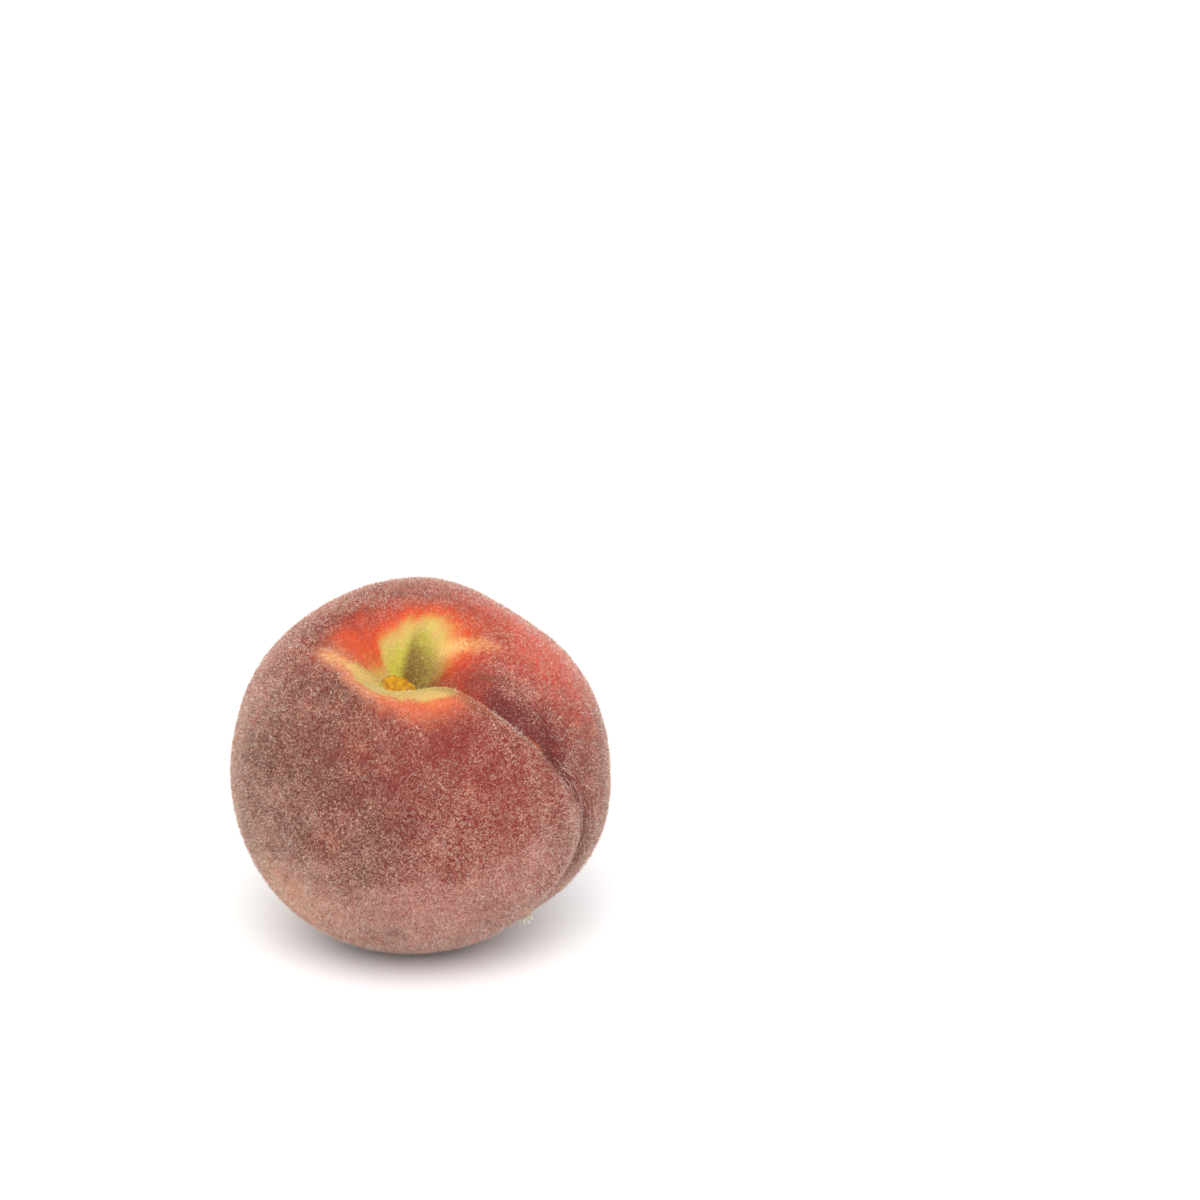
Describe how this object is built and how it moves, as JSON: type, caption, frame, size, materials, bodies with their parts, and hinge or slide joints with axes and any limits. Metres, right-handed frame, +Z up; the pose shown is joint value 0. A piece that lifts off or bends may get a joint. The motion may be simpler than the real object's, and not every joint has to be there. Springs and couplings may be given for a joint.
{
  "type": "peach",
  "caption": "Whole ripe peach with a downy blushed skin, a deep stem cavity, a folded suture and a small blossom tip, resting on a small flat spot.",
  "frame": {"origin": "on the resting surface, below the middle of the fruit's box", "axes": "+Z up, -Y the side that the stem end leans to, +X the side that the suture runs down"},
  "size_m": [0.072, 0.071, 0.0711],
  "materials": {
    "skin": "dry matte skin under short pale down"
  },
  "bodies": {
    "root": {"peach": "skin"}
  },
  "joints": []
}
